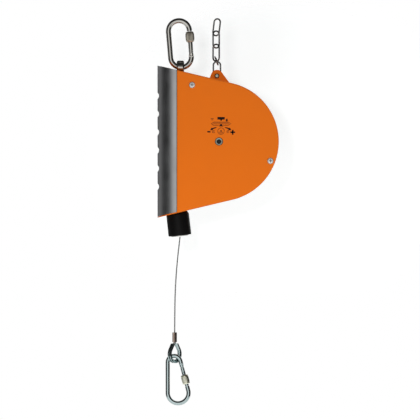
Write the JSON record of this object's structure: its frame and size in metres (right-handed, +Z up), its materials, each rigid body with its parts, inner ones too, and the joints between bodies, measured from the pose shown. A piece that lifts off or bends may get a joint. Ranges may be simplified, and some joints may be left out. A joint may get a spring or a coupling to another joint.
{
  "type": "tool balancer",
  "caption": "Spring tool balancer: half-round housing with a side grip, hung from a screw-lock carabiner, with a wire rope, rubber stop and hook below and a safety chain above.",
  "frame": {"origin": "inner face of the suspension carabiner's top bend, straight above the suspension eye", "axes": "+Z up along the suspension line, -Y out of the front cover, +X from the grip towards the round end"},
  "size_m": [0.1868, 0.0804, 0.5986],
  "materials": {
    "housing_orange": "lightly textured gloss",
    "spine_grey": "satin extruded",
    "warm_steel": "polished",
    "zinc_steel": "bright zinc",
    "bright_steel": "bright zinc",
    "chain_steel": "zinc plated",
    "dark_steel": "oiled",
    "bronze": "sintered",
    "drum_aluminium": "cast",
    "ferrule_metal": "swaged",
    "wire_rope": "galvanised strands",
    "guide_plastic": "smooth",
    "buffer_rubber": "moulded"
  },
  "bodies": {
    "top_carabiner": {"top_carabiner_body": "warm_steel", "top_carabiner_pin": "warm_steel"},
    "top_gate": {"top_carabiner_gate": "warm_steel"},
    "top_sleeve": {"top_carabiner_sleeve": "warm_steel"},
    "eye": {"suspension_eye": "bright_steel", "swivel_washer": "bright_steel", "swivel_nut": "bright_steel"},
    "housing": {"front_cover": "housing_orange", "back_shell": "housing_orange", "spine_guard": "spine_grey", "cover_screws": "bright_steel", "front_bush": "bronze", "rear_bush": "bronze", "swivel_bush": "bronze", "outlet_guide": "guide_plastic", "chain_pin": "bright_steel", "chain_pin_nut": "bright_steel", "pawl_pin": "bright_steel", "pawl_spring": "dark_steel"},
    "drum": {"drum": "drum_aluminium", "drum_bushes": "bronze", "wound_cable": "wire_rope", "spring_barrel": "dark_steel", "spring_cover": "dark_steel", "spring_cover_screws": "bright_steel"},
    "arbor": {"arbor": "dark_steel", "ratchet_wheel": "dark_steel", "clock_spring": "dark_steel"},
    "pawl": {"pawl": "dark_steel"},
    "hook_line": {"drawn_cable": "wire_rope", "rubber_buffer": "buffer_rubber", "cable_clamp": "drum_aluminium", "hanging_cable": "wire_rope", "ferrule": "ferrule_metal", "thimble": "bright_steel", "rope_loop": "wire_rope"},
    "hook": {"hook_body": "zinc_steel", "hook_pin": "zinc_steel"},
    "hook_gate": {"hook_gate": "zinc_steel"},
    "hook_sleeve": {"hook_sleeve": "zinc_steel"},
    "link_1": {"chain_link_1": "chain_steel"},
    "link_2": {"chain_link_2": "chain_steel"},
    "link_3": {"chain_link_3": "chain_steel"},
    "link_4": {"chain_link_4": "chain_steel"},
    "link_5": {"chain_link_5": "chain_steel"}
  },
  "joints": [
    {"name": "top_gate_swing", "type": "hinge", "parent": "top_carabiner", "child": "top_gate", "pos_m": [0.01662, 0, -0.04767], "axis": [0, -1, 0], "range_deg": [0, 25], "stiffness_Nm_per_rad": 0.1, "springref_deg": -17.19},
    {"name": "top_sleeve_screw", "type": "slide", "parent": "top_gate", "child": "top_sleeve", "axis": [0.0747, 0, -0.9972], "range_m": [-0.0034, 0.012]},
    {"name": "eye_swing", "type": "hinge", "parent": "top_carabiner", "child": "eye", "pos_m": [0, 0, -0.068], "axis": [1, 0, 0], "range_deg": [-30, 30]},
    {"name": "housing_swivel", "type": "hinge", "parent": "eye", "child": "housing", "pos_m": [0, 0, -0.089], "axis": [0, 0, 1], "continuous": true},
    {"name": "cable_pull", "type": "slide", "parent": "housing", "child": "hook_line", "axis": [0, 0, -1], "range_m": [0, 2], "stiffness_N_per_m": 2, "springref_m": -10, "deforming": ["drawn_cable"]},
    {"name": "drum_spin", "type": "hinge", "parent": "housing", "child": "drum", "pos_m": [0.0594, 0, -0.1827], "axis": [0, 1, 0], "range_deg": [-1715, 0]},
    {"name": "preload_turn", "type": "hinge", "parent": "housing", "child": "arbor", "pos_m": [0.0594, 0, -0.1827], "axis": [0, 1, 0], "range_deg": [0, 25]},
    {"name": "pawl_lift", "type": "hinge", "parent": "housing", "child": "pawl", "pos_m": [0.0941, 0, -0.1974], "axis": [0, 1, 0], "range_deg": [-12.5, 0.5]},
    {"name": "hook_swing", "type": "hinge", "parent": "hook_line", "child": "hook", "pos_m": [-0.0098, 0, -0.5231], "axis": [0, 1, 0], "range_deg": [-40, 40]},
    {"name": "hook_gate_swing", "type": "hinge", "parent": "hook", "child": "hook_gate", "pos_m": [0.00198, 0, -0.52887], "axis": [0, 1, 0], "range_deg": [0, 25], "stiffness_Nm_per_rad": 0.1, "springref_deg": -17.19},
    {"name": "hook_sleeve_screw", "type": "slide", "parent": "hook_gate", "child": "hook_sleeve", "axis": [-0.2572, 0, 0.9663], "range_m": [-0.005, 0.008]},
    {"name": "chain_joint_1", "type": "hinge", "parent": "housing", "child": "link_1", "pos_m": [0.0563, 0, -0.0811], "axis": [0, 1, 0], "range_deg": [-30, 30]},
    {"name": "chain_joint_2", "type": "hinge", "parent": "link_1", "child": "link_2", "pos_m": [0.0563, 0, -0.05905], "axis": [1, 0, 0], "range_deg": [-12, 25]},
    {"name": "chain_joint_3", "type": "hinge", "parent": "link_2", "child": "link_3", "pos_m": [0.05513, 0.01909, -0.05613], "axis": [-0.3351, -0.1626, 0.9281], "range_deg": [-12, 12]},
    {"name": "chain_joint_4", "type": "hinge", "parent": "link_3", "child": "link_4", "pos_m": [0.05513, 0.01909, -0.03163], "axis": [0.867, -0.4983, 0], "range_deg": [-25, 25]},
    {"name": "chain_joint_5", "type": "hinge", "parent": "link_4", "child": "link_5", "pos_m": [0.05513, 0.01909, -0.01118], "axis": [0.867, 0.4983, 0], "range_deg": [-25, 25]}
  ],
  "couplings": [
    {"joint": "drum_spin", "follows": "cable_pull", "rad_per_m": -14.903},
    {"joint": "pawl_lift", "follows": "preload_turn", "ratio": -0.468}
  ]
}
